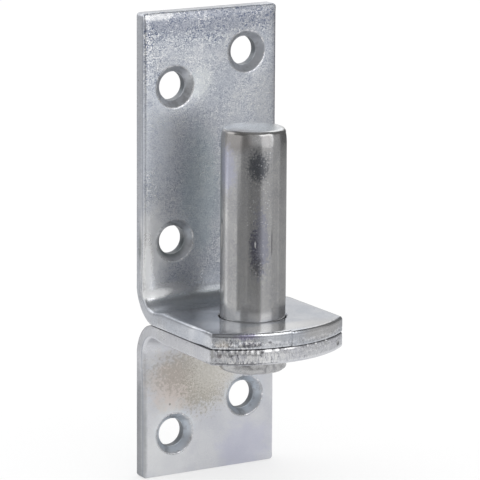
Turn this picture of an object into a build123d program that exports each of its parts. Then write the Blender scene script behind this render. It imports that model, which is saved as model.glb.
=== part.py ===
"""Gate hinge pin: two angle plates set shelf to shelf, with an upright pin riveted through both."""
import os

from build123d import *

# Frame: the pin's axis is Z, the upper shelf's top face is at Z = 0 and the post is on the +Y side.
# Driving dimensions, in millimetres.

# Both plates are cut from the same strip and bent to the same radius
plate_width = 37.5
plate_thickness = 4.0
bend_inner_radius = 4.0
edge_roll = 0.8                 # rounding that the shears leave round each plate's inner face
leaf_corner_radius = 1.2

# The leaves, against the post
post_face_distance = 24.25      # from the pin's axis to the face that goes against the post
upper_leaf_height = 72.5        # from the upper shelf's top face to the leaf's top edge
lower_leaf_height = 36.0        # from the lower shelf's underside to the leaf's bottom edge

# The shelves, which end in a shallow arc
shelf_corner_reach = 11.5       # from the pin's axis to the corners where the arc starts
shelf_nose_reach = 18.5         # from the pin's axis to the middle of the arc
shelf_corner_radius = 1.6
nose_step = 0.4                 # the upper arc is sheared in two strokes, the left one this much shorter

# The screw holes, in staggered pairs
screw_hole_diameter = 7.1
countersink_diameter = 10.4
countersink_angle = 90.0
hole_column_spacing = 20.2
hole_stagger = 7.2              # the right hole of each pair stands this much higher
top_hole_margin = 11.3          # from the leaf's top edge down to the highest hole
middle_hole_height = 15.6       # from the shelf's top face up to the lower hole of the middle pair
bottom_hole_margin = 10.6       # from the leaf's bottom edge up to the lowest hole

# The pin, and its seat in the shelves
pin_diameter = 16.0
pin_height = 46.5               # above the shelf's top face
pin_top_rounding = 1.2
pin_hole_diameter = 16.4
pin_hole_roll = 0.4             # rounding at the mouth of the hole, where the punch went in
seat_start_depth = 0.6          # below the shelf's top face, where the riveted shank has swollen to the hole

# The riveted foot under the lower shelf
foot_diameter = 16.8
foot_depth = 5.3
foot_rounding = 1.3

# Derived places
joint_z = -plate_thickness      # where the two shelves meet
stack_bottom_z = -2 * plate_thickness
leaf_bottom_z = stack_bottom_z - lower_leaf_height
leaf_front_y = post_face_distance - plate_thickness


def screw_pair(left_hole_z):
    """Places of one pair of screw holes, across the leaf and up it."""
    column = hole_column_spacing / 2
    return [(-column, left_hole_z), (column, left_hole_z + hole_stagger)]


def end_arc(setback=0.0):
    """Draws the arc at the shelf's end, set back from its full reach by some amount."""
    half_width = plate_width / 2
    return ThreePointArc(
        (-half_width, setback - shelf_corner_reach),
        (0, setback - shelf_nose_reach),
        (half_width, setback - shelf_corner_reach),
    )


def shelf_outline():
    """The plate seen from above, from the face against the post to the arc at the shelf's end."""
    with BuildSketch(Plane.XY.offset(joint_z)) as outline:
        with BuildLine():
            arc = end_arc()
            Polyline(
                arc @ 1,
                (plate_width / 2, post_face_distance),
                (-plate_width / 2, post_face_distance),
                arc @ 0,
            )
        make_face()
        fillet(outline.vertices().group_by(Axis.Y)[0], shelf_corner_radius)
    return outline.sketch


def left_stroke():
    """What the deeper stroke of the shears takes off the front of the shelf, left of its middle."""
    clear_of_shelf = -2 * shelf_nose_reach
    with BuildSketch(Plane.XY.offset(joint_z)) as offcut:
        with BuildLine():
            arc = end_arc(nose_step)
            Polyline(
                arc @ 1,
                (plate_width / 2, clear_of_shelf),
                (-plate_width / 2, clear_of_shelf),
                arc @ 0,
            )
        make_face()
        Rectangle(plate_width, -2 * clear_of_shelf, align=(Align.MAX, Align.CENTER), mode=Mode.INTERSECT)
    return offcut.sketch


def is_inner_bend_arc(edge):
    """Whether an edge is one of the two arcs at the sides of the bend's inner face."""
    if edge.geom_type != GeomType.CIRCLE:
        return False
    return abs(edge.radius - bend_inner_radius) < 0.001 * bend_inner_radius


def angle_plate(side, leaf_height, screw_holes, two_strokes=False, mouth_roll=0.0):
    """One bent plate, with side +1 where the leaf goes up from the shelf and -1 where it goes down.

    Its shelf can end in an arc sheared in two strokes, and the mouth of its pin hole can be rounded.
    """
    shelf_face_z = joint_z + side * plate_thickness
    leaf_length = plate_thickness + leaf_height
    with BuildPart() as plate:
        # The bent section, drawn from the face where the two shelves meet
        with BuildSketch(Plane((0, 0, joint_z), x_dir=(0, 1, 0), z_dir=(side, 0, 0))) as section:
            with BuildLine():
                Polyline(
                    (-shelf_nose_reach, 0),
                    (post_face_distance, 0),
                    (post_face_distance, leaf_length),
                    (leaf_front_y, leaf_length),
                    (leaf_front_y, plate_thickness),
                    (-shelf_nose_reach, plate_thickness),
                    close=True,
                )
            make_face()
            outer_corner = section.vertices().sort_by_distance((post_face_distance, 0))[0]
            inner_corner = section.vertices().sort_by_distance((leaf_front_y, plate_thickness))[0]
            fillet(outer_corner, bend_inner_radius + plate_thickness)
            fillet(inner_corner, bend_inner_radius)
        extrude(amount=plate_width / 2, both=True)
        extrude(shelf_outline(), amount=leaf_length, both=True, mode=Mode.INTERSECT)
        leaf_end = plate.edges().filter_by(Axis.Y).group_by(Axis.Z)[-1 if side > 0 else 0]
        fillet(leaf_end, leaf_corner_radius)

        # The rolled edge round the inner face, which is the shelf, the bend and the leaf's front:
        # all their edges but the two lines across the plate where the bend starts and ends
        shelf_edges = plate.edges().filter_by_position(Axis.Z, shelf_face_z, shelf_face_z)
        leaf_edges = plate.edges().filter_by_position(Axis.Y, leaf_front_y, leaf_front_y)
        shelf_rim = shelf_edges.sort_by(Axis.Y)[:-1]
        leaf_rim = leaf_edges.sort_by_distance((0, leaf_front_y, shelf_face_z))[1:]
        bend_rim = plate.edges().filter_by(is_inner_bend_arc)
        fillet(shelf_rim + leaf_rim + bend_rim, edge_roll)

        # The countersunk screw holes, from the leaf's front
        with Locations(Plane((0, leaf_front_y, 0), x_dir=(1, 0, 0), z_dir=(0, -1, 0))):
            with Locations(*screw_holes):
                CounterSinkHole(
                    screw_hole_diameter / 2,
                    countersink_diameter / 2,
                    counter_sink_angle=countersink_angle,
                )

        # The shelf's arc, where it was sheared in two strokes
        if two_strokes:
            extrude(left_stroke(), amount=plate_thickness + edge_roll, mode=Mode.SUBTRACT)

        # The hole that the pin is riveted into
        with Locations((0, 0, shelf_face_z)):
            Hole(pin_hole_diameter / 2)
        if mouth_roll > 0:
            fillet(plate.edges().sort_by_distance((0, 0, shelf_face_z))[0], mouth_roll)
    return plate


upper_holes = screw_pair(upper_leaf_height - top_hole_margin - hole_stagger) + screw_pair(middle_hole_height)
lower_holes = screw_pair(leaf_bottom_z + bottom_hole_margin)
upper_plate = angle_plate(1, upper_leaf_height, upper_holes, two_strokes=True, mouth_roll=pin_hole_roll)
lower_plate = angle_plate(-1, lower_leaf_height, lower_holes)

# The pin's half section, turned about its axis
with BuildPart() as hinge_pin:
    with BuildSketch(Plane.XZ) as half_section:
        with BuildLine():
            Polyline(
                (0, pin_height),
                (pin_diameter / 2, pin_height),
                (pin_diameter / 2, 0),
                (pin_hole_diameter / 2, -seat_start_depth),
                (pin_hole_diameter / 2, stack_bottom_z),
                (foot_diameter / 2, stack_bottom_z),
                (foot_diameter / 2, stack_bottom_z - foot_depth),
                (0, stack_bottom_z - foot_depth),
                close=True,
            )
        make_face()
        corners = half_section.vertices()
        top_corner = corners.sort_by_distance((pin_diameter / 2, pin_height))[0]
        foot_corner = corners.sort_by_distance((foot_diameter / 2, stack_bottom_z - foot_depth))[0]
        fillet(top_corner, pin_top_rounding)
        fillet(foot_corner, foot_rounding)
    revolve(axis=Axis.Z)

os.makedirs("parts", exist_ok=True)
for name, piece in (("upper_plate", upper_plate), ("lower_plate", lower_plate), ("hinge_pin", hinge_pin)):
    piece.part.label = name
    export_step(piece.part, f"parts/{name}.step")
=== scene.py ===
"""Gate hinge pin: the looks of two sheared and bent plates and of the pin riveted through them."""

import math

import bmesh
import bpy
import numpy as np
from mathutils import Matrix, Vector, geometry, noise


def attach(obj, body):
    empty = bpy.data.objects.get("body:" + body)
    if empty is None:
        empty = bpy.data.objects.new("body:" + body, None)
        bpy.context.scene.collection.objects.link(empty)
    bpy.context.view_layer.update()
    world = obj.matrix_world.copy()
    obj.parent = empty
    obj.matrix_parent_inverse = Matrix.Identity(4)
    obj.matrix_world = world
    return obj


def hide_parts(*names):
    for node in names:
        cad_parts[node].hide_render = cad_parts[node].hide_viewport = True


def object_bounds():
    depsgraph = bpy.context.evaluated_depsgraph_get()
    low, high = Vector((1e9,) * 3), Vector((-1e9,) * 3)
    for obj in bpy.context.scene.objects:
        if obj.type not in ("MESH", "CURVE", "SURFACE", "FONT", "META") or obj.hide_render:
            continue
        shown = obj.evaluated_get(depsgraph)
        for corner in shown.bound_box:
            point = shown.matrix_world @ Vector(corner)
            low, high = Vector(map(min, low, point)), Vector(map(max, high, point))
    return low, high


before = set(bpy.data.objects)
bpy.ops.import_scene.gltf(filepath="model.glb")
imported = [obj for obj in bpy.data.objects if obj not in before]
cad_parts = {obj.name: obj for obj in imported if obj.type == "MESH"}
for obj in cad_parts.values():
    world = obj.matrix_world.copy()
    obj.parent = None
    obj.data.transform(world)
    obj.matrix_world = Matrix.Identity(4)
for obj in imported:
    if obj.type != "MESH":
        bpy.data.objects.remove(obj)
scene = bpy.context.scene
cad_low, cad_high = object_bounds()

# All sizes are in millimetres, and a mesh is scaled to metres as it is made
MM = 0.001

# The plates, as they are sheared and bent
PLATE_THICKNESS = 4.0
HALF_WIDTH = 18.75
BEND_RADIUS = 4.0                # of the inner face
LEAF_FACE_Y = 20.25              # the front of the leaves
UPPER_LEAF_HEIGHT = 72.5         # above the upper shelf's face
LOWER_LEAF_HEIGHT = 36.0         # below the lower shelf's face
CORNER_REACH = 11.5              # from the pin's axis to the corners of the shelf's arc
NOSE_REACH = 18.5                # from the pin's axis to the middle of the arc
SHELF_CORNER = 1.6
LEAF_CORNER = 0.9
NOSE_STEP = 0.4                  # how much deeper the left stroke of the shears went

# The circle of the shelf's arc, with its centre as a distance along the plate
ARC_RISE = NOSE_REACH - CORNER_REACH
ARC_RADIUS = (ARC_RISE ** 2 + HALF_WIDTH ** 2) / (2 * ARC_RISE)
ARC_CENTRE = ARC_RADIUS - NOSE_REACH

# Where the flat plate starts to bend, and where its leaf starts, measured along its inner face
BEND_START = LEAF_FACE_Y - BEND_RADIUS
LEAF_START = BEND_START + BEND_RADIUS * math.pi / 2

# The screw holes, in staggered pairs, and the pin's hole
SCREW_RADIUS = 3.55
SINK_RADIUS = 5.2
HOLE_COLUMN = 10.1
HOLE_STAGGER = 7.2
TOP_HOLE_MARGIN = 11.3           # from the leaf's top edge down to the highest hole
MIDDLE_HOLE_HEIGHT = 15.6        # from the shelf's face up to the lower hole of the middle pair
BOTTOM_HOLE_MARGIN = 10.6        # from the leaf's bottom edge up to the lowest hole
PIN_HOLE_RADIUS = 8.2

# The pin
PIN_RADIUS = 8.0
PIN_TOP = 46.5
PIN_TOP_ROUNDING = 1.2
SHOULDER_START = 42.8            # from here up the shank is worn thinner
SHOULDER_WEAR = 0.24
GAP_WIDTH = 0.03                 # how much narrower the pin is just under the shelf's face
SEAT_SWELL = 0.17                # how much the riveting swelled it in the shelves
FOOT_RADIUS = 8.4
FOOT_TOP = -8.0
FOOT_BOTTOM = -13.3
FOOT_ROUNDING = 1.3
END_RINGS = (0.6, 1.6, 2.8, 4, 5, 5.8)    # radii of the rings on both ends

# What the shears leave on an edge, the drill on a countersink and the riveting tool on the shelf
SINK_ROUNDING = 0.8
ROLL_RADIUS = 0.8                # the rounding round the inner face
SAG_WIDTH = 2.4                  # the inner face is pulled down this far from the edge
SAG_DEPTH = 0.13
TOOL_RING_RADIUS = 10.7
TOOL_RING_DEPTH = 0.06

# The meshes: points round a hole and round the pin, steps along an edge, and depths down a sheared side
HOLE_POINTS = 72
PIN_POINTS = 144
FINE_STEP = 0.16
ROLL_STEPS = 7
SIDE_DEPTHS = (0.8, 1.1, 1.5, 1.9, 2.2, 2.45, 2.7, 2.95, 3.2, 3.45, 3.65, 3.82, 3.93, PLATE_THICKNESS)
HOLE_WALL = 0.5                  # marks a hole's wall, where a sheared side has 1 and a face 0


def smooth(low, high, value):
    """0 below low, 1 above high and a soft step between them."""
    t = np.clip((value - low) / (high - low), 0, 1)
    return t * t * (3 - 2 * t)


def ripple(places, size, seed):
    """Smooth noise from -1 to 1 at each place, with bumps of about the given size."""
    shift = Vector((seed * 17.3, seed * -9.1, seed * 5.7))
    return np.array([noise.noise(Vector(p) / size + shift) for p in places])


def spread(start, end, spacing):
    """Evenly spaced values from start up to, and without, end."""
    count = max(1, round(abs(end - start) / spacing))
    return start + (end - start) * np.arange(count) / count


def full_turn(count, start=0):
    """Points on a circle with a radius of 1."""
    turn = np.arange(count) / count * 2 * math.pi + start
    return np.column_stack([np.cos(turn), np.sin(turn)])


def rounding(radius, degrees):
    """Points round an edge at some angles, as how far each lies behind the edge's two faces."""
    return [(radius * (1 - math.sin(t)), radius * (1 - math.cos(t))) for t in np.radians(degrees)]


def gap_to(points, hole):
    """How far each point lies outside a hole, given as its place and radius."""
    across, along, radius = hole
    return np.hypot(points[:, 0] - across, points[:, 1] - along) - radius


def join_loops(starts, length):
    """Quads between closed loops of the same length, each given as the number of its first point."""
    quads = []
    for first, second in zip(starts, starts[1:]):
        for n in range(length):
            after = (n + 1) % length
            quads.append((first + n, first + after, second + after, second + n))
    return quads


def at_depth(flat, depth):
    """Flat points set at a depth or a height."""
    return np.column_stack([flat, np.broadcast_to(depth, len(flat))])


def fold(side, across, along, depth):
    """Bends the flat plate: across and along its inner face, and depth into the metal.

    Side is +1 for the plate whose leaf goes up and -1 for the one whose leaf goes down.
    """
    turn = np.clip((along - BEND_START) / BEND_RADIUS, 0, math.pi / 2)
    radius = BEND_RADIUS + depth
    y = np.minimum(along, BEND_START) + radius * np.sin(turn)
    height = BEND_RADIUS - radius * np.cos(turn) + np.maximum(along - LEAF_START, 0)
    shelf_face = 0 if side > 0 else -2 * PLATE_THICKNESS
    return np.column_stack([across, y, shelf_face + side * height])


def arc_along(across):
    """Where the shelf's arc runs, as a distance along the plate."""
    return ARC_CENTRE - np.sqrt(ARC_RADIUS ** 2 - across ** 2)


def flat_outline(leaf_length):
    """The outline of the flat plate with rounded corners, counter-clockwise, and its outward normals."""
    corner_across = HALF_WIDTH - SHELF_CORNER
    corner_along = ARC_CENTRE - math.sqrt((ARC_RADIUS - SHELF_CORNER) ** 2 - corner_across ** 2)
    arc_end = corner_across * ARC_RADIUS / (ARC_RADIUS - SHELF_CORNER)
    leaf_across = HALF_WIDTH - LEAF_CORNER
    end = LEAF_START + leaf_length
    points = [(across, arc_along(across)) for across in spread(-arc_end, arc_end, FINE_STEP)]

    def corner(centre_across, centre_along, radius, first, last):
        """A quarter turn, or less, round a corner."""
        for angle in spread(first, last, FINE_STEP / radius):
            across = centre_across + radius * math.cos(angle)
            points.append((across, centre_along + radius * math.sin(angle)))

    arc_turn = math.atan2(corner_along - ARC_CENTRE, corner_across)
    corner(corner_across, corner_along, SHELF_CORNER, arc_turn, 0)
    rising = np.concatenate([
        spread(corner_along, BEND_START, 0.5),
        spread(BEND_START, LEAF_START, 0.22),
        spread(LEAF_START, end - LEAF_CORNER, 0.5),
    ])
    points += [(HALF_WIDTH, along) for along in rising]
    corner(leaf_across, end - LEAF_CORNER, LEAF_CORNER, 0, math.pi / 2)
    points += [(across, end) for across in spread(leaf_across, -leaf_across, 0.4)]
    corner(-leaf_across, end - LEAF_CORNER, LEAF_CORNER, math.pi / 2, math.pi)
    falling = np.append(rising, end - LEAF_CORNER)[:0:-1]
    points += [(-HALF_WIDTH, along) for along in falling]
    corner(-corner_across, corner_along, SHELF_CORNER, math.pi, math.pi - arc_turn)
    outline = np.array(points)
    tangent = np.roll(outline, -1, axis=0) - np.roll(outline, 1, axis=0)
    normal = np.column_stack([tangent[:, 1], -tangent[:, 0]])
    return outline, normal / np.linalg.norm(normal, axis=1)[:, None]


def distance_to(points, line):
    """How far each point lies from the nearest corner of a line."""
    found = np.full(len(points), np.inf)
    batch = 64
    for start in range(0, len(line), batch):
        gaps = points[:, None, :] - line[None, start:start + batch, :]
        found = np.minimum(found, np.linalg.norm(gaps, axis=2).min(axis=1))
    return found


def screw_hole_profile():
    """The wall of a countersunk hole, as radius and depth from the inner face to the outer one."""
    sink_depth = SINK_RADIUS - SCREW_RADIUS
    rim_radius = SINK_RADIUS + SINK_ROUNDING * (math.tan(math.pi / 8) - 1)
    rim = [(rim_radius + out, deep) for out, deep in rounding(SINK_ROUNDING, range(0, 46, 9))]
    cone = [(SINK_RADIUS - deep, deep) for deep in sink_depth * np.array((0.35, 0.56, 0.77, 0.94))]
    drilled = [(0.02, sink_depth + 0.06), (0, sink_depth + 0.25), (0, 2.7), (0, 3.5), (0.03, 3.85),
               (0.18, PLATE_THICKNESS)]
    return rim + cone + [(SCREW_RADIUS + wider, deep) for wider, deep in drilled]


def pin_hole_profile(mouth):
    """The wall of the hole that the pin sits in, with its mouth rounded by the punch."""
    rim = [(PIN_HOLE_RADIUS + out, deep) for out, deep in rounding(mouth, range(0, 90, 15))]
    return rim + [(PIN_HOLE_RADIUS, depth) for depth in (mouth, 1.6, 2.8, PLATE_THICKNESS)]


def sheared_inset(outline, depth, seed, nicks, step):
    """How far the sheared side lies behind the outline at one depth, and how much of that is a nick.

    The shears roll the inner face's edge over, smooth the side below it and tear the rest.
    """
    across, along = outline.T
    edge = at_depth(outline, 0)
    surface = at_depth(outline, 0.35 * depth)
    at_front = smooth(BEND_START - 18, BEND_START - 24, along)
    torn_from = 2.6 + 0.4 * ripple(edge, 3.1, seed) + 0.25 * ripple(edge, 0.9, seed + 1)
    torn = smooth(torn_from - 0.15, torn_from + 0.4, depth)
    ragged = 0.035 + 0.03 * ripple(surface, 1.3, seed + 2) + 0.035 * ripple(surface, 0.45, seed + 3)
    inset = torn * np.maximum(ragged, 0) * (0.35 + 0.65 * at_front)
    # Fine lines that the shears draw down the smooth part
    inset += (0.012 + 0.01 * ripple(edge, 0.42, seed + 4)) * smooth(0.5, 1.2, depth)
    # The outer face's edge is broken off a little, and more towards the right end of the front
    broken_off = 0.06 + 0.11 * at_front * smooth(4, 17, across)
    inset += broken_off * smooth(PLATE_THICKNESS - 0.36, PLATE_THICKNESS, depth)
    # Single nicks torn out of the front, each sloping in towards the outer face
    nicked = 0 * inset
    for place, width, first, last, bite in nicks:
        near = np.exp(-(((across - place) / width) ** 4))
        slope = np.clip((depth - first) / (last - first), 0, 1)
        slope *= 1 - smooth(last, last + 0.22, depth)
        inset += at_front * bite * near * slope
        shown = near * (slope > 0) * smooth(first - 0.1, first + 0.2, depth)
        nicked = np.maximum(nicked, at_front * shown)
    inset += at_front * step * smooth(0.12, -0.12, across)
    return np.maximum(inset, 0), nicked


def sunken_face(flat, outline, holes, seed):
    """How far the inner face lies below true at each flat point: pulled down by shears and punches."""
    across, along = flat.T
    sunk = SAG_DEPTH * np.clip(1 - distance_to(flat, outline) / SAG_WIDTH, 0, 1) ** 2
    for hole in holes:
        sunk += 0.05 * np.exp(-(np.maximum(gap_to(flat, hole), 0) / 1.1) ** 2)
    places = at_depth(flat, 0)
    sunk += 0.03 * (1 + ripple(places, 17, seed + 5)) + 0.006 * (1 + ripple(places, 4.5, seed + 6))
    # The leaf's end is pulled down more widely
    from_end = np.maximum(outline[:, 1].max() - along, 0)
    sunk += 0.2 * np.clip(1 - from_end / 3.2, 0, 1) ** 2
    # Bending lets the sides of the bend's inner face fall away
    at_bend = smooth(BEND_START - 5, BEND_START + 1, along)
    at_bend *= smooth(LEAF_START + 13, LEAF_START, along)
    from_side = np.maximum(HALF_WIDTH - np.abs(across), 0)
    sunk += 0.64 * at_bend * np.clip(1 - from_side / 6, 0, 1) ** 2
    return sunk + TOOL_RING_DEPTH * np.exp(-((np.hypot(across, along) - TOOL_RING_RADIUS) / 0.35) ** 2)


def inner_points(outline, normal, holes, first_gap, gaps, spacing):
    """Loose points for a face: a grid, rows that follow its edge and rings round its holes."""
    low, high = outline.min(axis=0), outline.max(axis=0)
    rows = np.concatenate([
        spread(low[1] + spacing / 2, BEND_START, spacing),
        spread(BEND_START, LEAF_START, 0.3),
        spread(LEAF_START, high[1], spacing),
    ])
    columns = spread(low[0] + spacing / 2, high[0], spacing)
    grid = np.array([(a + spacing / 2 * (n % 2), b) for n, b in enumerate(rows) for a in columns])
    edge_gap = first_gap + gaps[-1] + spacing * 0.4
    grid = grid[distance_to(grid, outline) > edge_gap]
    grid = grid[grid[:, 1] > arc_along(grid[:, 0]) + edge_gap]
    for hole in holes:
        grid = grid[gap_to(grid, hole) > 1.5 + spacing * 0.4]

    loose = []
    for gap in gaps:
        row = (outline - normal * (first_gap + gap))[::2]
        loose.append(row[distance_to(row, outline) > (first_gap + gap) * 0.97])
    for across, along, radius in holes:
        for gap in (0.3, 0.8, 1.5):
            loose.append(full_turn(48, gap) * (radius + gap) + (across, along))
    kept = [grid]
    for points in loose:
        for hole in holes:
            points = points[gap_to(points, hole) > 0.2]
        inside = (distance_to(points, outline) > first_gap * 0.97) & (np.abs(points[:, 0]) < HALF_WIDTH)
        kept.append(points[inside])
    return np.concatenate(kept)


def fill_face(loops, loose):
    """Triangles over a face, as numbers of its points: outer loop, loops round holes, then loose ones."""
    edges = []
    first_loose = 0
    for loop in loops:
        count = len(loop)
        edges += [(first_loose + n, first_loose + (n + 1) % count) for n in range(count)]
        first_loose += count
    points = [Vector(p) for p in np.concatenate(loops + [loose])]
    made = geometry.delaunay_2d_cdt(points, edges, [], 0, 1e-6, True)
    triangles = [[made[3][n][0] for n in triangle] for triangle in made[2]]
    # The metal is what a loose point reaches without crossing the outline or a hole's edge
    walls = {frozenset(edge) for edge in edges}
    sides = [{frozenset((triangle[n], triangle[n - 1])) for n in range(3)} for triangle in triangles]
    beside = {}
    for number, around in enumerate(sides):
        for edge in around - walls:
            beside.setdefault(edge, set()).add(number)
    reached = {number for number, triangle in enumerate(triangles) if max(triangle) >= first_loose}
    waiting = list(reached)
    while waiting:
        for edge in sides[waiting.pop()] - walls:
            found = beside[edge] - reached
            reached |= found
            waiting += found
    return [triangles[number] for number in sorted(reached)]


def build_plate(name, side, leaf_length, screw_places, mouth, nicks, seed, step):
    """One plate as a closed mesh: its inner and outer faces, the sheared side and the holes' walls."""
    outline, normal = flat_outline(leaf_length)
    holes = [(a, b, screw_hole_profile()) for a, b in screw_places]
    holes.append((0, 0, pin_hole_profile(mouth)))
    rows = []

    def add(flat, deep, mask, nicked=0):
        """Adds points of the flat plate with their masks, and returns the number of the first."""
        first = sum(len(row) for row in rows)
        columns = [np.broadcast_to(values, len(flat)) for values in (deep, mask, nicked)]
        rows.append(np.column_stack([flat] + columns))
        return first

    # The sheared side, from the inner face down to the outer one
    side_steps = rounding(ROLL_RADIUS, np.arange(ROLL_STEPS) * 90 / ROLL_STEPS)
    side_steps += [(0, depth) for depth in SIDE_DEPTHS]
    leaf_end = LEAF_START + leaf_length
    edge = at_depth(outline, 0)
    uneven = 1 + 0.14 * ripple(edge, 5, seed + 8) + 0.17 * ripple(edge, 0.5, seed + 10)
    uneven *= 1 - 0.62 * smooth(leaf_end - 2.6, leaf_end - 0.8, outline[:, 1])
    side_loops = []
    for inset, deep in side_steps:
        torn, nicked = sheared_inset(outline, deep, seed, nicks, step)
        ring = outline - normal * (inset * uneven + torn)[:, None]
        side_loops.append((add(ring, deep, smooth(0, ROLL_RADIUS, deep), nicked), ring))
    faces = join_loops([first for first, _ in side_loops], len(outline))

    # The holes' walls, which the drill left a little out of round
    circle = full_turn(HOLE_POINTS)
    walls = []
    for order, (across, along, profile) in enumerate(holes):
        wall = []
        for radius, deep in profile:
            chatter = np.ones(HOLE_POINTS)
            if 0 < deep < PLATE_THICKNESS and order < len(screw_places):
                chatter += 0.005 * ripple(at_depth(circle * radius, deep + order * 9), 0.7, seed + 9)
            ring = circle * radius * chatter[:, None] + (across, along)
            wall.append((add(ring, deep, HOLE_WALL if wall else 0), ring))
        faces += join_loops([first for first, _ in reversed(wall)], HOLE_POINTS)
        walls.append(wall)

    # The two faces, between the first loops of the side and the walls, and between the last ones
    for level, first_gap, gaps, spacing in (
        (0, ROLL_RADIUS * 1.2 + step, (0.3, 0.8, 1.4), 0.95),
        (-1, 0.75, (0.35,), 1.3),
    ):
        hole_edges = [(a, b, profile[level][0]) for a, b, profile in holes]
        loose = inner_points(outline, normal, hole_edges, first_gap, gaps, spacing)
        loops = [side_loops[level]] + [wall[level] for wall in walls]
        triangles = fill_face([points for _, points in loops], loose)
        numbers = []
        for first, points in loops + [(add(loose, side_steps[level][1], 0), loose)]:
            numbers += range(first, first + len(points))
        faces += [[numbers[n] for n in triangle] for triangle in triangles]

    across, along, depth, mask, nicked = np.concatenate(rows).T
    flat = np.column_stack([across, along])
    into = depth / PLATE_THICKNESS
    hole_edges = [(a, b, profile[0][0]) for a, b, profile in holes]
    lifted = depth + sunken_face(flat, outline, hole_edges, seed) * (1 - into)
    lifted -= 0.05 * smooth(1.6, 0, distance_to(flat, outline)) * smooth(3, 4, depth)
    # Bending draws the outer skin in, so the sides are hollow there
    bend = np.sin(np.clip((along - BEND_START) / (LEAF_START - BEND_START), 0, 1) * math.pi)
    places = fold(side, across * (1 - 0.014 * bend * into), along, lifted)
    masks = {"sheared": mask, "into_metal": into, "drilled": mask == HOLE_WALL, "nicked": nicked}
    return metal_object(name, places, faces, masks, flat, depth)


def new_object(data):
    """An object that the scene shows, with the name of its data."""
    made = bpy.data.objects.new(data.name, data)
    scene.collection.objects.link(made)
    return made


def metal_object(name, places, faces, masks, flat, depth):
    """A metal piece with what the materials read: its masks, and each point's place on the metal."""
    mesh = bpy.data.meshes.new(name)
    mesh.from_pydata((places * MM).tolist(), [], faces)
    for label, values in masks.items():
        attribute = mesh.attributes.new(label, "FLOAT", "POINT")
        attribute.data.foreach_set("value", values.astype(np.float32))
    attribute = mesh.attributes.new("flat_place", "FLOAT_VECTOR", "POINT")
    attribute.data.foreach_set("vector", at_depth(flat, depth).astype(np.float32).ravel())
    shell = bmesh.new()
    shell.from_mesh(mesh)
    bmesh.ops.delete(shell, geom=[v for v in shell.verts if not v.link_faces], context="VERTS")
    bmesh.ops.recalc_face_normals(shell, faces=shell.faces)
    shell.to_mesh(mesh)
    shell.free()
    mesh.shade_smooth()
    mesh.set_sharp_from_angle(angle=math.radians(38))
    return new_object(mesh)


def pin_profile():
    """The pin's outline from the middle of its top to the middle of its foot, as radius and height."""
    worn_radius = PIN_RADIUS - SHOULDER_WEAR
    shoulder_top = PIN_TOP - PIN_TOP_ROUNDING
    line = [(radius, PIN_TOP) for radius in END_RINGS + (6.4,)]
    for inward, down in rounding(PIN_TOP_ROUNDING, np.linspace(0, 78, 10)):
        line.append((worn_radius + 0.02 * PIN_TOP_ROUNDING - inward, PIN_TOP - down))
    for height in spread(shoulder_top, 0.2, 0.4):
        worn = np.clip((height - SHOULDER_START) / (shoulder_top - SHOULDER_START), 0, 1)
        line.append((PIN_RADIUS - SHOULDER_WEAR * worn ** 2, height))
    gap, seat = PIN_RADIUS - GAP_WIDTH, PIN_RADIUS + SEAT_SWELL
    line += [(PIN_RADIUS, 0.1), (gap, -0.1), (gap, -1), (seat, -1.7), (seat, FOOT_TOP + 0.2)]
    line += [(seat + 0.01, FOOT_TOP + 0.01), (FOOT_RADIUS - 0.1, FOOT_TOP), (FOOT_RADIUS, FOOT_TOP - 0.12)]
    line += [(FOOT_RADIUS, z) for z in spread(FOOT_TOP - 0.5, FOOT_BOTTOM + FOOT_ROUNDING, 0.35)]
    for up, inward in rounding(FOOT_ROUNDING, np.linspace(0, 90, 9)):
        line.append((FOOT_RADIUS - inward, FOOT_BOTTOM + up))
    return line + [(radius, FOOT_BOTTOM) for radius in (6.6,) + END_RINGS[::-1]]


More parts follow.
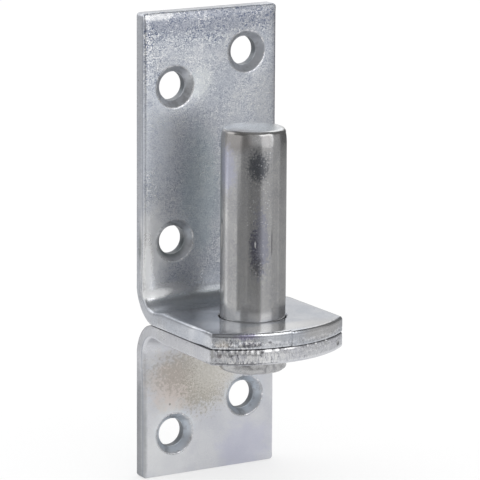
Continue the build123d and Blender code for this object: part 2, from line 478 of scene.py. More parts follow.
def build_pin(name):
    """The pin as a turned and headed bar, with nicks on its top edge and a hammered foot."""
    circle = full_turn(PIN_POINTS)[:, ::-1] * (1, -1)
    places = np.concatenate([at_depth(circle * radius, height) for radius, height in pin_profile()])
    radius = np.hypot(places[:, 0], places[:, 1])
    height = places[:, 2]
    outward = places * (1, 1, 0) / radius[:, None]
    # The bar isn't quite true, and hammering left the foot and the end uneven
    inward = 0.012 * (1 + ripple(places, 9, 31)) * (radius > 7)
    on_foot = smooth(FOOT_TOP - 0.1, FOOT_TOP - 0.8, height)
    inward += on_foot * (0.07 + 0.09 * ripple(places, 2.6, 32) + 0.05 * ripple(places, 0.9, 33))
    # Nicks in the top edge, as angle from the front, width, lowest and highest point, and depth
    for degrees, width, low, high, bite in (
        (-6, 0.45, 43.4, 46.2, 0.07),
        (0.5, 0.35, 44.1, 46, 0.06),
        (-62, 0.5, 44.6, 46.3, 0.05),
        (84, 0.6, 44.3, 46.4, 0.06),
        (171, 0.5, 44.4, 46.3, 0.06),
    ):
        turn = math.radians(degrees)
        away = gap_to(places, (PIN_RADIUS * math.sin(turn), -PIN_RADIUS * math.cos(turn), 0))
        level = smooth(low - 0.4, low + 0.2, height) * smooth(high + 0.2, high - 0.3, height)
        inward += bite * np.exp(-((away / width) ** 2)) * level
    places = places - outward * np.maximum(inward, 0)[:, None]
    end_face = smooth(0.9, 0, np.minimum(PIN_TOP - height, 3)) * (radius < 7.2)
    places[:, 2] -= end_face * 0.03 * (1 + ripple(places, 3.2, 34))
    foot_face = smooth(0.9, 0, height - FOOT_BOTTOM)
    places[:, 2] += foot_face * 0.1 * (1 + ripple(places, 2.4, 35))
    # The middle of each end closes the mesh
    top, bottom = len(places), len(places) + 1
    places = np.concatenate([places, [(0, 0, PIN_TOP - 0.03), (0, 0, FOOT_BOTTOM + 0.1)]])
    last = top - PIN_POINTS
    faces = join_loops(range(0, top, PIN_POINTS), PIN_POINTS)
    for n in range(PIN_POINTS):
        after = (n + 1) % PIN_POINTS
        faces += [(top, after, n), (bottom, last + n, last + after)]
    foot = np.append(on_foot, (0, 1))
    return metal_object(name, places, faces, {"foot": foot}, places[:, :2], places[:, 2])


class Wire:
    """A node's output, which sums take like a plain number."""

    def __init__(self, socket):
        self.socket = socket
        self.tree = socket.id_data

    def __add__(self, other):
        return calc("ADD", self, other)

    def __sub__(self, other):
        return calc("SUBTRACT", self, other)

    def __rsub__(self, other):
        return calc("SUBTRACT", other, self)

    def __mul__(self, other):
        return calc("MULTIPLY", self, other)

    __radd__ = __add__
    __rmul__ = __mul__


def feed(socket, value):
    """Links a node's input to a wire, or sets it to a number, a place or a colour, or to a grey."""
    if isinstance(value, Wire):
        value.tree.links.new(value.socket, socket)
    elif socket.type == "RGBA":
        socket.default_value = (*np.broadcast_to(value, 3), 1)
    else:
        socket.default_value = value


def put(kind, *inputs, tree=None, **named):
    """Adds a node beside its wires, or else in a given tree.

    It takes its first inputs in order, others by their names with a capital, and its settings.
    """
    if tree is None:
        tree = next(value.tree for value in (*inputs, *named.values()) if isinstance(value, Wire))
    node = tree.nodes.new("ShaderNode" + kind)
    settings = {key: value for key, value in named.items() if key[0].islower()}
    for key, value in settings.items():
        setattr(node, key, value)
    for socket, value in zip(node.inputs, inputs):
        feed(socket, value)
    for key in named.keys() - settings.keys():
        feed(node.inputs[key.replace("_", " ")], named[key])
    return node


def result(kind, *inputs, output=0, **named):
    """One output of a new node."""
    return Wire(put(kind, *inputs, **named).outputs[output])


def calc(operation, first, second=0, clamp=False):
    """The result of a Math node."""
    return result("Math", first, second, operation=operation, use_clamp=clamp)


def ramp(value, low, high, to_low=0, to_high=1):
    """A value eased from one range to another."""
    return result("MapRange", value, low, high, to_low, to_high, interpolation_type="SMOOTHSTEP")


def blend(share, first, second, mode="MIX"):
    """Two colours mixed by a share."""
    node = put("Mix", share, tree=first.tree, data_type="RGBA", blend_type=mode)
    feed(node.inputs[6], first)
    feed(node.inputs[7], second)
    return Wire(node.outputs[2])


def specks(place, size, detail=2, rough=0.6, distortion=0):
    """Noise from about 0 to 1 with grains of about the given size."""
    return result("TexNoise", place, Scale=1 / size, Detail=detail, Roughness=rough, Distortion=distortion)


def stretch(place, scale, turn=0):
    """The place on the metal, turned and drawn out so that specks become lines."""
    return result("Mapping", place, Rotation=(0, 0, turn), Scale=scale)


def reaches_away(surface, place, reach):
    """How far the surface lies from a place, counted in the reach that each direction has."""
    away = result("VectorMath", surface, place, operation="SUBTRACT")
    scaled = result("VectorMath", away, reach, operation="DIVIDE")
    return result("VectorMath", scaled, operation="LENGTH", output="Value")


def start_group(name, **inputs):
    """An empty shader node group with its inputs, as wires."""
    tree = bpy.data.node_groups.new(name, "ShaderNodeTree")
    for label, value in inputs.items():
        kind = {1: "Float", 3: "Vector", 4: "Color"}[np.size(value)]
        label = label.replace("_", " ")
        socket = tree.interface.new_socket(label, in_out="INPUT", socket_type="NodeSocket" + kind)
        socket.default_value = value
    return [Wire(socket) for socket in tree.nodes.new("NodeGroupInput").outputs[:len(inputs)]]


def end_group(**outputs):
    """Gives a group its outputs, and returns the group."""
    tree = next(iter(outputs.values())).tree
    for label, wire in outputs.items():
        kind = {"VALUE": "NodeSocketFloat", "RGBA": "NodeSocketColor"}[wire.socket.type]
        tree.interface.new_socket(label, in_out="OUTPUT", socket_type=kind)
    end = tree.nodes.new("NodeGroupOutput")
    for label, wire in outputs.items():
        feed(end.inputs[label], wire)
    return tree


def use_group(group, first, **values):
    """Places a shared group with its own values beside its first input, and returns its outputs."""
    return [Wire(socket) for socket in put("Group", first, node_tree=group, **values).outputs]


def make_soft_patch():
    """A soft, broken patch round one place, for tarnish, smears and rubbed spots, and for painted
    highlights, reflections and shade.
    """
    surface, place, reach, grain, broken = start_group(
        "soft_patch", Surface=(0, 0, 0), Place=(0, 0, 0), Reach=(1, 1, 1), Grain=1, Broken=0.5)
    grains = result("TexNoise", surface, Scale=grain, Detail=4, Roughness=0.7)
    wander = (grains - 0.5) * broken
    return end_group(Mask=ramp(reaches_away(surface, place, reach) + wander * 3, 1.15, 0.45))


def make_clumps(surface, low, high):
    """Wide, soft clumps in which the crystals of the zinc stand out more."""
    return ramp(specks(surface, 4.2, 3, 0.6, 0.9), 0.4, 0.62, low, high)


def make_zinc_skin():
    """Bright zinc plating: a cloudy tint, fine crystals that catch the light, and an uneven gloss."""
    surface, light, dark, crystals, gloss_loss = start_group(
        "zinc_skin", Surface=(0, 0, 0), Light_Zinc=(1, 1, 1, 1), Dark_Zinc=(1, 1, 1, 1), Crystals=1,
        Gloss_Loss=0)
    clouds = ramp(specks(surface, 9, 3, 0.55, 0.4), 0.32, 0.68)
    fine = specks(surface, 0.34, 3, 0.75)
    coarse = specks(surface, 1.05, 3, 0.7, 0.6)
    grains = fine * 0.68 + coarse * 0.32
    strength = (ramp(grains, 0.37, 0.65) - 0.5) * (crystals * make_clumps(surface, 0.62, 1.16))
    lift = 1 + strength * 0.72
    tone = result("CombineColor", lift + strength * 0.05, lift, lift - strength * 0.14)
    return end_group(
        Colour=blend(1, blend(clouds, light, dark), tone, "MULTIPLY"),
        Roughness=gloss_loss + (clouds - 0.5) * 0.08 - strength * 0.1,
        Height=grains * crystals,
    )


def make_crystal_glints():
    """Painted glints: single crystals and specks that flash in the light, as small dots of a mask."""
    surface, spacing, share = start_group("crystal_glints", Surface=(0, 0, 0), Spacing=1, Share=0.2)
    warp = result("TexNoise", surface, Scale=2.2, output="Color")
    spot = result("VectorMath", warp, (0.7, 0.7, 0.7), surface, operation="MULTIPLY_ADD")
    cells = put("TexVoronoi", spot, Scale=calc("DIVIDE", 1, spacing)).outputs
    cell_number = result("SeparateColor", Wire(cells["Color"]))
    dots = ramp(Wire(cells["Distance"]), 0.34, 0.14) * calc("LESS_THAN", cell_number, share)
    return end_group(Mask=dots * make_clumps(surface, 0.55, 1))


def make_handling_marks():
    """Fine scratches and rubbed places from handling, as a mask that is 0 on untouched plating."""
    surface, amount = start_group("handling_marks", Surface=(0, 0, 0), Amount=0.5)
    scratches = 0
    for turn, width in ((0.5, 0.312), (1.9, 0.408), (2.7, 0.252)):
        lines = specks(stretch(surface, (0.06, 1, 1), turn), width, 2, 0.6, 0.2)
        scratches = calc("MAXIMUM", scratches, ramp(lines, 0.7, 0.76))
    where = ramp(specks(surface, 5.5, 2, 0.5), 0.5, 0.62)
    return end_group(Mask=calc("MULTIPLY", scratches * where, amount, clamp=True))


def make_crumbled_metal():
    """Metal that the shears crumbled, drawn out across the cut: dark flaws and bright flakes."""
    surface, place, reach = start_group(
        "crumbled_metal", Surface=(0, 0, 0), Place=(0, 0, 0), Reach=(1, 1, 1))
    zone = ramp(reaches_away(surface, place, reach), 1.1, 0.6)
    crumbs = specks(stretch(surface, (1, 1, 0.35)), 0.45, 3, 0.7, 0.4)
    crumbs = crumbs * 0.72 + specks(surface, 1.4) * 0.28
    return end_group(Flaws=ramp(crumbs, 0.44, 0.37) * zone, Flakes=ramp(crumbs, 0.48, 0.55) * zone)


def make_torn_edge():
    """The look of a sheared side: a smooth band under the rolled edge, then torn metal with dark pits."""
    surface, into, sheared, zinc = start_group(
        "torn_edge", Surface=(0, 0, 0), Into_Metal=0, Sheared=0, Zinc=(1, 1, 1, 1))
    side = ramp(sheared, 0.55, 0.95)
    torn = ramp(into, 0.55, 0.8) * side
    lines = specks(stretch(surface, (1, 1, 0.12)), 0.33, 3, 0.65)
    crumbs = specks(surface, 0.75, 4, 0.75, 0.5)
    colour = blend(side * 0.1, zinc, (0.42, 0.42, 0.43))
    colour = blend(ramp(crumbs, 0.55, 0.68) * torn * 0.75, colour, (0.2, 0.19, 0.22))
    lift = 1 + (lines - 0.5) * (side * 0.3)
    return end_group(
        Colour=blend(1, colour, lift, "MULTIPLY"), Height=lines * (side * 0.3) + crumbs * torn, Mask=torn)


# The shader node groups, each an effect that several finishes share
SOFT_PATCH = make_soft_patch()
ZINC_SKIN = make_zinc_skin()
CRYSTAL_GLINTS = make_crystal_glints()
HANDLING_MARKS = make_handling_marks()
CRUMBLED_METAL = make_crumbled_metal()
TORN_EDGE = make_torn_edge()

# Zinc plating scatters a part of its light, as paint does
ZINC_METALLIC = 0.8
LEAF_ROUGHNESS = 0.34


def new_finish(name):
    """A material, the inputs of its metal shader, and the place on the metal in millimetres."""
    material = bpy.data.materials.new(name)
    material.use_nodes = True
    tree = material.node_tree
    shader = tree.nodes["Principled BSDF"].inputs
    feed(shader["Metallic"], ZINC_METALLIC)
    return material, shader, result("Attribute", tree=tree, attribute_name="flat_place", output="Vector")


def stored_mask(surface, label):
    """A mask that the mesh holds."""
    return result("Attribute", tree=surface.tree, attribute_name=label, output="Fac")


def patch_mask(surface, label, place, reach, grain, broken):
    """The mask of one soft patch."""
    patch = use_group(SOFT_PATCH, surface, label=label, Place=place, Reach=reach, Grain=grain, Broken=broken)
    return patch[0]


def add_patches(surface, colour, rough, patches):
    """Tints and roughens the metal in each patch of a table."""
    for *where, tint, share, rougher in patches:
        mask = patch_mask(surface, *where) * share
        colour = blend(mask, colour, tint)
        rough = rough + mask * rougher
    return colour, rough


def finish_surface(shader, colour, rough, height, bump):
    """Feeds what the groups gave into the metal shader."""
    feed(shader["Base Color"], colour)
    feed(shader["Roughness"], rough)
    feed(shader["Normal"], result("Bump", Height=height, Strength=bump, Distance=0.06 * MM))


def plate_finish(name, light, dark, crystals, shelf_roughness, grainy_zones, chalky_highlights_and_bloom, patches, nick_tint_and_highlight,
                 crumbled):
    """Zinc plating for one plate, with its own tints, patches and chalky white patches, which on the upper
    plate are painted highlights, and its sheared sides.
    """
    material, shader, surface = new_finish(name)
    labels = ("sheared", "into_metal", "drilled", "nicked")
    sheared, into, drilled, nicked = (stored_mask(surface, label) for label in labels)
    along = result("SeparateXYZ", surface, output="Y")
    on_leaf = ramp(along, BEND_START - 2, LEAF_START + 8)
    at_bend = ramp(along, BEND_START - 3, BEND_START + 1) * ramp(along, LEAF_START - 1, LEAF_START - 3.5)

    # The crystals show most on the leaf and in the grainy zones, and least where metal was cut
    zones = 0.25
    for place, reach in grainy_zones:
        zones = patch_mask(surface, "grainy zone", place, reach, 0.2, 0.5) * 0.75 + zones
    grainy = (on_leaf * 0.52 + zones) * (1 - calc("MAXIMUM", sheared * 0.75, drilled))
    dulled = on_leaf * (LEAF_ROUGHNESS - shelf_roughness) + drilled * 0.08 + at_bend * 0.12
    colour, rough, height = use_group(
        ZINC_SKIN, surface, Light_Zinc=light, Dark_Zinc=dark, Crystals=grainy * crystals,
        Gloss_Loss=dulled + shelf_roughness)
    colour, rough = add_patches(surface, colour, rough, patches)

    # Chalky white plating, which isn't as metallic: painted highlights on the upper plate, and a faint
    # whitening of the lower plate's left side
    metal = (1 - drilled * 0.1) * ZINC_METALLIC
    for place, reach, share in chalky_highlights_and_bloom:
        mask = patch_mask(surface, "chalky highlight and bloom", place, reach, 0.6, 0.3) * share
        colour = blend(mask, colour, (0.97, 0.98, 0.99))
        metal = calc("SUBTRACT", metal, mask * 0.8, clamp=True)
    feed(shader["Metallic"], metal)

    # Painted glints: white dots where crystals flash
    glint = use_group(CRYSTAL_GLINTS, surface, Spacing=0.56, Share=0.26)[0]
    glinting = calc("MULTIPLY", glint, grainy * (0.48 * crystals), clamp=True)
    colour = blend(glinting, colour, (0.97, 0.98, 1))
    scratches = use_group(HANDLING_MARKS, surface, Amount=0.6)[0]
    colour = blend(scratches * 0.5, colour, (0.86, 0.87, 0.88))
    # The upper plate's nicks are tinted dark; the lower plate's are painted white as a highlight
    colour = blend(nicked * 0.85, colour, nick_tint_and_highlight)

    # The plating is thin and dull in the holes, and the drill left chatter marks; the rims get a painted
    # highlight, white and smoother
    colour = blend(drilled * 0.4, colour, (0.42, 0.43, 0.46))
    colour = blend(drilled * ramp(into, 0.42, 0.5), colour, (0.33, 0.35, 0.36), "MULTIPLY")
    chatter = drilled * ramp(specks(surface, 2), 0.5, 0.62)
    colour = blend(chatter * 0.34, colour, (0.24, 0.24, 0.25))
    # Painted highlight round the holes' rims
    rim = drilled * ramp(into, 0.062, 0.045) * ramp(specks(surface, 0.6, 3, 0.7), 0.48, 0.6)
    colour = blend(rim * 0.9, colour, (0.98, 0.98, 0.99))
    rough = rough - rim * 0.2

    # Painted shade in the groove between the rolled edge and the sheared side
    groove_shade = ramp(sheared, 0.55, 0.8) * ramp(into, 0.27, 0.22) * ramp(along, BEND_START - 2, LEAF_START)
    colour = blend(groove_shade * 0.55, colour, (0.25, 0.28, 0.34))

    # The sheared side, and a painted shadow where its outer edge meets the other plate
    side = ramp(sheared, 0.55, 0.95)
    for place, reach, share in crumbled:
        flaws, flakes = use_group(CRUMBLED_METAL, surface, Place=place, Reach=reach)
        colour = blend(flaws * (side * share), colour, (0.14, 0.13, 0.15))
        colour = blend(flakes * (side * share), colour, 0.98)
    colour, torn_height, torn = use_group(TORN_EDGE, surface, Into_Metal=into, Sheared=sheared, Zinc=colour)
    seam_shadow = ramp(into, 0.955, 0.99) * side
    colour = blend(seam_shadow * 0.85, colour, (0.06, 0.06, 0.07))
    rough = calc("ADD", rough, torn * 0.06, clamp=True)
    finish_surface(shader, colour, rough, height + torn_height, 0.55)
    return material


def pin_finish(name, patches):
    """The pin's duller zinc, with the marks of drawing, its own patches and a smudged foot."""
    material, shader, surface = new_finish(name)
    foot = stored_mask(surface, "foot")
    colour, rough, height = use_group(
        ZINC_SKIN, surface, Light_Zinc=0.6, Dark_Zinc=(0.5, 0.5, 0.51), Crystals=0.3, Gloss_Loss=0.17)
    streaks = specks(stretch(surface, (1, 1, 0.035)), 0.6, 3, 0.6)
    colour = blend(ramp(streaks, 0.45, 0.75, 0, 0.3), colour, (0.44, 0.43, 0.43))
    colour, rough = add_patches(surface, colour, rough, patches)
    # Painted glints in a zone on the pin's front
    zone = patch_mask(surface, "glinting front", (-2.6, -7.5, 28), (4.2, 3.8, 26), 0.5, 0.5)
    glint = use_group(CRYSTAL_GLINTS, surface, Spacing=0.55, Share=0.36)[0]
    colour = blend(glint * (zone * 0.85), colour, (0.97, 0.97, 1))
    smudge = ramp(specks(surface, 1.6, 4, 0.7, 0.6), 0.5, 0.66) * foot
    colour = blend(smudge * 0.6, colour, (0.22, 0.22, 0.24))
    scratches = use_group(HANDLING_MARKS, surface, Amount=0.8)[0]
    colour = blend(scratches * 0.5, colour, (0.82, 0.83, 0.85))
    finish_surface(shader, colour, rough + foot * 0.08, height + streaks * 0.35, 0.45)
    return material


def photo_camera():
    """The camera at the photograph's place and angle."""
    azimuth, elevation, roll = -31.0699, 12.3201, 0.3465
    aside, above, distance = 3.0654, -18.206, 867.888
    turned = Matrix()
    for degrees, axis in ((azimuth, "Z"), (90 - elevation, "X"), (roll, "Z")):
        turned = turned @ Matrix.Rotation(math.radians(degrees), 4, axis)
    lens = bpy.data.cameras.new("photo_camera")
    lens.lens = 267.67
    lens.sensor_width = 36
    lens.clip_start, lens.clip_end = 0.05, 20
    camera = new_object(lens)
    camera.matrix_world = turned @ Matrix.Translation(Vector((-aside, -above, distance)) * MM)
    scene.camera = camera


def stage_piece(mesh):
    """A piece of the stage with an empty material, that material's nodes, and its output's input."""
    piece = new_object(mesh)
    material = bpy.data.materials.new(mesh.name)
    material.use_nodes = True
    tree = material.node_tree
    tree.nodes.remove(tree.nodes["Principled BSDF"])
    mesh.materials.append(material)
    return piece, tree, tree.nodes["Material Output"].inputs["Surface"]


def white_room():
    """White surroundings."""
    world = bpy.data.worlds.new("white_room")
    world.use_nodes = True
    feed(world.node_tree.nodes["Background"].inputs["Color"], 1)
    scene.world = world


def pale_floor():
    """A pale floor just under the part, which keeps its shadow and is clear from below."""
    drop, reach, grey = 0.05 * MM, 4000 * MM, 0.42
    level = cad_low.z - drop
    mesh = bpy.data.meshes.new("pale_floor")
    corners = [(reach * x, reach * y, level) for x, y in ((-1, -1), (1, -1), (1, 1), (-1, 1))]
    mesh.from_pydata(corners, [], [(0, 1, 2, 3)])
    _, tree, surface = stage_piece(mesh)
    path = put("LightPath", tree=tree).outputs
    mirrored = calc("MAXIMUM", Wire(path["Is Glossy Ray"]), Wire(path["Is Transmission Ray"]))
    glow = result("Emission", Strength=Wire(path["Is Camera Ray"]) * 0.6 + mirrored * 0.5)
    lit = result("AddShader", result("BsdfDiffuse", grey, tree=tree), glow)
    under = result("NewGeometry", tree=tree, output="Backfacing")
    feed(surface, result("MixShader", under, lit, result("BsdfTransparent", tree=tree)))


def make_soft_card():
    """How bright one card with soft edges looks in a direction from the part, and 0 outside it."""
    direction, azimuth, elevation, half_width, half_height, softness, light = start_group(
        "soft_card", Direction=(0, 0, 1), Azimuth=0, Elevation=0, Half_Width=0.2, Half_Height=0.2,
        Softness=0.1, Brightness=1)
    turned = result("VectorRotate", direction, Angle=azimuth * -1, rotation_type="Z_AXIS")
    x, y, z = (Wire(socket) for socket in put("SeparateXYZ", turned).outputs)
    aside = calc("ARCTAN2", x, y * -1)
    above = calc("ARCSINE", z) - elevation
    for offset, half in ((aside, half_width), (above, half_height)):
        light = ramp(calc("ABSOLUTE", offset), half - softness, half + softness, 1, 0) * light
    return end_group(Light=light)


# The grey cards: azimuth, elevation, half width, half height and softness in degrees, and brightness
TENT_GREY = 0.05
CARDS = (
    (-116, -17, 28, 15, 4, 0.6),
    (-104, 12, 30, 14, 4, 0.75),
    (-25, 16, 24, 12, 5, 0.42),
    (-22, 44, 32, 14, 6, 0.45),
    (-68, -5, 18, 27, 6, 0.14),
    (-30, -17, 26, 15, 6, 0.08),
    (15, -17, 22, 15, 2.5, 0.22),
    (26, -17, 10, 15, 3.5, 0.24),
    (7, -17, 8, 15, 4, 0.3),
    (52, -17, 15, 15, 4, 0.35),
    (96, -17, 32, 15, 4, 0.3),
    (17, 13, 20, 13, 3, 1.2),
    (54, 12, 18, 14, 5, 0.34),
    (155, 12, 25, 14, 4, 0.7),
    (155, -17, 27, 15, 4, 0.22),
    (-155, 4, 24, 24, 4, 0.38),
    (15, 38, 24, 14, 5, 1.9),
    (180, 40, 68, 14, 6, 1.4),
    (0, 86, 190, 16, 8, 0.12),
)


def card_tent():
    """The tent of grey cards round the part, which only the metal's reflections show."""
    radius, height = 180 * MM, 12 * MM
    mesh = bpy.data.meshes.new("card_tent")
    ball = bmesh.new()
    bmesh.ops.create_icosphere(ball, subdivisions=4, radius=radius)
    ball.to_mesh(mesh)
    ball.free()
    mesh.shade_smooth()
    tent, tree, surface = stage_piece(mesh)
    tent.location = (0, 0, height)
    for kind in ("camera", "diffuse", "transmission", "volume_scatter", "shadow"):
        setattr(tent, f"visible_{kind}", False)
    spot = result("TexCoord", tree=tree, output="Object")
    direction = result("VectorMath", spot, operation="NORMALIZE")
    card = make_soft_card()
    light = TENT_GREY
    for *angles, brightness in CARDS:
        azimuth, elevation, half_width, half_height, softness = (math.radians(angle) for angle in angles)
        light = use_group(card, direction, Azimuth=azimuth, Elevation=elevation, Half_Width=half_width,
                          Half_Height=half_height, Softness=softness, Brightness=brightness)[0] + light
    feed(surface, result("Emission", Strength=light))


def front_spot(across, depth):
    """A place on the shelf's sheared front, on the flat metal."""
    return (across, arc_along(across), depth)


def screw_pair(left_along, stagger):
    """The places of one pair of screw holes on a flat plate."""
    return [(-HOLE_COLUMN, left_along), (HOLE_COLUMN, left_along + stagger)]


# Nicks torn out of the shelves' fronts: place across, half width, first and last depth, and bite
UPPER_NICKS = (
    (-14.8, 0.45, 2.4, 2.9, 0.16),
    (-12.5, 0.55, 2.3, 2.9, 0.14),
    (-11.2, 0.5, 2.3, 2.8, 0.16),
    (-9.9, 0.6, 2.4, 2.9, 0.15),
    (-8.6, 0.45, 2.4, 2.8, 0.14),
    (-5.8, 0.4, 1.9, 2.3, 0.12),
    (3.1, 0.25, 2.2, 2.7, 0.08),
)
LOWER_NICKS = (
    (-18.3, 0.3, 2.1, 4, 0.26),
    (-16.9, 0.32, 2.9, 4, 0.26),
    (-15.9, 0.25, 2.8, 4, 0.2),
    (-14.3, 0.42, 2.8, 4, 0.3),
    (-13.3, 0.22, 3, 4, 0.18),
    (-12, 0.4, 2.9, 4, 0.26),
    (-10.9, 0.32, 2.9, 4, 0.24),
    (-9.8, 0.55, 2.8, 3.9, 0.28),
    (-8.5, 0.5, 2.8, 3.7, 0.28),
    (-6.2, 1.15, 3.2, 4, 0.3),
    (-4, 0.65, 3.3, 4, 0.26),
    (-0.8, 1.7, 3.5, 4, 0.2),
    (4.5, 0.25, 3.2, 4, 0.22),
    (7.2, 0.25, 3.1, 4, 0.24),
    (10.8, 0.35, 3, 4, 0.26),
    (16, 0.35, 1.6, 2.2, 0.2),
)

# Patches on the metal: what each is, its place, its reach each way, how fine and how broken its edge
# is, its tint or grey, its share, and how much rougher it is
WHITE = 0.98
# Several patches below are painted highlights, reflections or shade, as their names say
UPPER_PATCHES = (
    ("dark top", (0, 88.2, 0), (30, 3.6, 2), 1.6, 0.9, (0.26, 0.28, 0.36), 0.5, 0),
    # A painted highlight along the top-left corner, under the top edge
    ("bright top corner", (-15, 90, 0), (5.5, 0.9, 1.5), 1.6, 1.1, WHITE, 0.6, -0.06),
    # Painted reflection and shade of the pin on the leaf beside it
    ("dark beside the pin", (-3, 46, 0), (6.5, 17.5, 2), 0.25, 0.3, (0.42, 0.51, 0.56), 0.5, 0),
    # Painted highlight: the upper leaf's left side paler above the bend
    ("pale left side", (-17, 33, 0), (6, 13, 3), 0.3, 0.3, (0.96, 0.97, 0.98), 0.85, 0),
    # A painted highlight along the left edge above the bend, white and smoother
    ("bright left edge", (-17.7, 29, 0), (1.7, 9, 2), 0.3, 0.15, WHITE, 0.9, -0.22),
    # Painted shade and reflection of the pin in the left middle countersink
    ("dark middle hole", (-11.8, 32.4, 2.1), (9, 9, 1.7), 0.4, 0.2, (0.12, 0.15, 0.15), 0.9, 0),
    # A painted highlight to the right of the top left hole
    ("pale between holes", (-3.3, 73, 0), (4.5, 4, 2), 0.4, 0.3, (0.88, 0.92, 0.92), 0.4, 0),
    ("bluish left side", (-16, 60, 0), (6, 18, 2), 0.25, 0.3, (0.84, 0.88, 0.95), 0.55, 0.02),
    # A painted highlight along the left part of the bend, smoother
    ("bright bend", (-14, 22.3, 0), (9, 2.2, 2), 0.5, 0.2, (0.98, 0.98, 0.99), 0.85, -0.1),
    # Painted shade in the bend
    ("dark bend start", (-2, 19, 0), (17, 3.6, 2), 0.2, 0.2, (0.36, 0.4, 0.42), 0.5, 0),
    # A painted reflection: the shelf's left part darkened where it mirrors the leaf and the bend
    ("dark shelf", (-9.5, 7.5, 0), (12.5, 11.5, 2), 0.15, 0.25, (0.3, 0.33, 0.37), 0.5, 0),
    # A painted highlight on the shelf in front of the pin, paler where the pin's reflection falls
    ("pale shelf front", (-2, -13.5, 0), (12, 4.5, 1), 0.2, 0.25, (0.98, 0.97, 0.95), 0.6, 0),
    ("dull top edge", (0, 91.3, 2.4), (32, 1.2, 2.6), 0.4, 0.2, (0.4, 0.41, 0.43), 0.75, 0.05),
    ("dark right side", (16.5, 64, 0), (5, 14, 2), 0.25, 0.2, (0.46, 0.48, 0.52), 0.3, 0),
    ("dull right front", front_spot(11, 1.5), (9.5, 8, 2.6), 0.4, 0.2, (0.64, 0.62, 0.6), 0.6, 0.06),
    ("black flaw", front_spot(-14.8, 2.65), (0.8, 2, 0.6), 1.5, 0.25, 0.05, 0.9, 0.1),
    ("violet flaws", front_spot(-10.5, 2.65), (3.2, 2, 0.75), 1.1, 0.55, (0.05, 0.045, 0.09), 0.9, 0.1),
    ("violet tarnish", front_spot(-12, 0.8), (5, 2, 0.95), 0.9, 0.4, (0.3, 0.26, 0.45), 0.7, 0.05),
    ("tan corner", front_spot(-16.5, 2.7), (2.2, 2, 1.1), 1.2, 0.6, (0.76, 0.68, 0.58), 0.6, 0.05),
    # Painted shade on the left part of the rolled front edge
    ("dark roll", front_spot(-16, 0.4), (5, 7, 0.8), 1, 0.4, (0.22, 0.22, 0.24), 0.65, 0.05),
    # Painted highlights as white beads along the rolled front edge
    ("beads", front_spot(-4.5, 0.2), (7, 6, 0.5), 2.6, 1.6, 1, 0.4, 0.04),
)
LOWER_PATCHES = (
    ("tan stain", (-6, 30.5, 0), (15, 9.5, 2), 0.25, 0.4, (0.62, 0.57, 0.5), 0.66, 0),
    ("pink stain", (-11, 31.5, 0), (7.5, 6.5, 2), 0.5, 0.5, (0.8, 0.68, 0.64), 0.42, 0),
    ("brown flecks", (-1.6, 32.5, 0), (6.5, 6.5, 2), 1.4, 1.5, (0.34, 0.31, 0.24), 0.5, 0.05),
    ("tan flecks", (-8, 28.5, 0), (9, 5, 2), 1.1, 1.5, (0.36, 0.33, 0.28), 0.48, 0.05),
    ("pale flecks", (0.5, 29, 0), (8, 7, 2), 3.1, 1.5, (0.92, 0.9, 0.85), 0.5, 0),
    ("left pit", (-11.5, 36.2, 0), (0.35, 0.35, 2), 1, 0.2, (0.22, 0.2, 0.18), 0.8, 0.1),
    ("right pit", (3.5, 56.3, 0), (0.3, 0.3, 2), 1, 0.2, (0.22, 0.2, 0.18), 0.8, 0.1),
    ("lilac corner", (10, 50, 0), (9, 8, 2), 0.25, 0.4, (0.56, 0.57, 0.72), 0.45, 0),
    ("pale left side", (-12, 48, 0), (9, 12, 2), 0.2, 0.3, (0.96, 0.97, 0.97), 0.45, 0),
    ("bluish right hole", (10.1, 35.9, 1), (7, 7, 1.6), 0.3, 0.2, (0.76, 0.88, 1), 0.75, 0),
    ("bluish left hole", (-10.1, 43.1, 1), (7, 7, 1.6), 0.3, 0.2, (0.76, 0.88, 1), 0.75, 0),
    ("dull shelf side", (-18.8, 2, 2.2), (1.2, 16, 4), 0.4, 0.2, (0.5, 0.5, 0.51), 0.35, 0.05),
    ("dark leaf side", (-18.8, 46, 2.2), (1.2, 24, 4), 0.4, 0.2, (0.3, 0.31, 0.33), 0.9, 0.1),
    # Painted shade on the left part of the rolled front edge
    ("dark roll", front_spot(-13, 0.55), (9, 9, 0.5), 1.2, 0.5, (0.1, 0.1, 0.11), 0.85, 0.1),
    ("right flaw", front_spot(16, 1.9), (0.9, 2, 0.65), 1.2, 0.3, 0.08, 0.9, 0.1),
    ("brown flaw", front_spot(-16.8, 2.6), (1.1, 2, 0.8), 1.3, 0.6, (0.2, 0.16, 0.17), 0.7, 0.1),
    ("black flaw", front_spot(-14.9, 2.8), (0.8, 2, 0.7), 1.3, 0.5, 0.12, 0.7, 0.1),
)
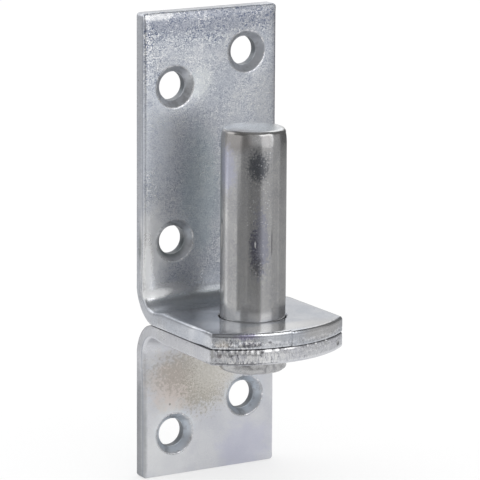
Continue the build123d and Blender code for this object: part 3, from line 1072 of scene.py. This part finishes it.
PIN_PATCHES = (
    # Painted light: the top end paler and a little rougher
    ("pale end", (0, 0, 47.4), (11, 11, 1.6), 0.3, 0.25, (0.88, 0.94, 0.98), 0.95, 0.06),
    ("dark blotch", (-3.1, -7.4, 38.2), (2.9, 2.9, 4.4), 1.9, 0.65, (0.06, 0.07, 0.09), 0.8, 0.1),
    ("bluish smear", (-2.4, -7.6, 19.5), (2.2, 2.4, 9.5), 1.1, 0.9, (0.36, 0.37, 0.48), 0.62, 0.04),
    ("smear's core", (-4, -6.9, 18.6), (1, 1.5, 4.8), 2.2, 1.3, (0.1, 0.1, 0.15), 0.76, 0.06),
    ("white streak", (-3.7, -7.1, 19.2), (0.24, 0.4, 0.9), 1.5, 0.2, 1, 0.9, 0),
    ("dark specks", (-3.3, -7.3, 13.8), (1.3, 1.6, 2.4), 3.4, 1.9, (0.08, 0.08, 0.1), 0.66, 0.05),
    ("long scratch", (0.4, -8, 19.5), (0.24, 0.4, 4), 1, 0.25, (0.15, 0.15, 0.17), 0.6, 0),
    # Painted shade on the left of the worn shoulder
    ("left shoulder", (-7.2, -3.4, 44.6), (5.4, 5.4, 3.8), 0.3, 0.3, (0.32, 0.3, 0.29), 0.72, 0.05),
    # Painted shade on the front of the shoulder, dimming its highlight
    ("front shoulder", (-1, -7.9, 44.2), (1.7, 2, 3), 0.6, 0.4, (0.36, 0.35, 0.35), 0.55, 0.04),
    # Painted shade round the top rim, a little rougher
    ("dull top rim", (0, 0, 45.9), (12, 12, 0.75), 0.6, 0.4, (0.42, 0.41, 0.4), 0.45, 0.04),
    ("lilac left side", (-8, -0.6, 37), (2, 3.6, 6.5), 0.9, 0.5, (0.5, 0.52, 0.7), 0.5, 0),
    ("right blotch", (7, 4, 22), (2.5, 2.5, 7), 1.2, 0.6, (0.26, 0.27, 0.33), 0.6, 0.06),
    ("back blotch", (-3.5, 7.2, 30), (2.5, 2.5, 4), 1.4, 0.6, (0.18, 0.18, 0.22), 0.6, 0.06),
)

photo_camera()
white_room()
pale_floor()
card_tent()

# Heights above a shelf's face count from here along the flat leaf
leaf_foot = LEAF_START - BEND_RADIUS
upper_holes = screw_pair(leaf_foot + UPPER_LEAF_HEIGHT - TOP_HOLE_MARGIN - HOLE_STAGGER, HOLE_STAGGER)
upper_holes += screw_pair(leaf_foot + MIDDLE_HOLE_HEIGHT, HOLE_STAGGER)
lower_holes = screw_pair(leaf_foot + LOWER_LEAF_HEIGHT - BOTTOM_HOLE_MARGIN, -HOLE_STAGGER)
upper = build_plate("upper_plate_zinc", 1, UPPER_LEAF_HEIGHT - BEND_RADIUS, upper_holes, mouth=0.4,
                    nicks=UPPER_NICKS, seed=3, step=NOSE_STEP)
lower = build_plate("lower_plate_zinc", -1, LOWER_LEAF_HEIGHT - BEND_RADIUS, lower_holes, mouth=0.15,
                    nicks=LOWER_NICKS, seed=7, step=0)
pin = build_pin("riveted_pin_zinc")

upper.data.materials.append(plate_finish(
    "upper_plate_zinc",
    light=(0.69, 0.71, 0.75),
    dark=(0.58, 0.61, 0.67),
    crystals=1.5,
    shelf_roughness=0.18,
    grainy_zones=(((0, 89, 0), (30, 8, 2)), ((-18, 66, 0), (5, 34, 2))),
    # Painted highlights at the left of the bend and along its foot
    chalky_highlights_and_bloom=(((-17.6, 28, 0), (1.4, 8.5, 2), 0.85), ((-15.8, 21.6, 0), (5, 1.3, 2), 0.9)),
    patches=UPPER_PATCHES,
    nick_tint_and_highlight=(0.3, 0.3, 0.32),
    crumbled=((front_spot(-14, 2.6), (8.5, 8, 1.9), 0.8), (front_spot(-1, 2.9), (9, 4, 1.2), 0.3)),
))
lower.data.materials.append(plate_finish(
    "lower_plate_zinc",
    light=(0.73, 0.74, 0.77),
    dark=(0.66, 0.67, 0.72),
    crystals=0.15,
    shelf_roughness=0.24,
    grainy_zones=(((-18, 40, 0), (5, 20, 2)),),
    chalky_highlights_and_bloom=(((-18.5, 42, 0), (7, 20, 2), 0.2),),
    patches=LOWER_PATCHES,
    # Painted highlight: the lower nicks are white
    nick_tint_and_highlight=WHITE,
    crumbled=((front_spot(-11, 2.1), (10, 10, 2.3), 0.92), (front_spot(4, 2.2), (16, 7, 2.2), 0.45)),
))
pin.data.materials.append(pin_finish("pin_zinc", PIN_PATCHES))

for piece, node in ((upper, "upper_plate"), (lower, "lower_plate"), (pin, "hinge_pin")):
    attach(piece, "root")
    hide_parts(node)

scene.view_settings.view_transform = "Standard"
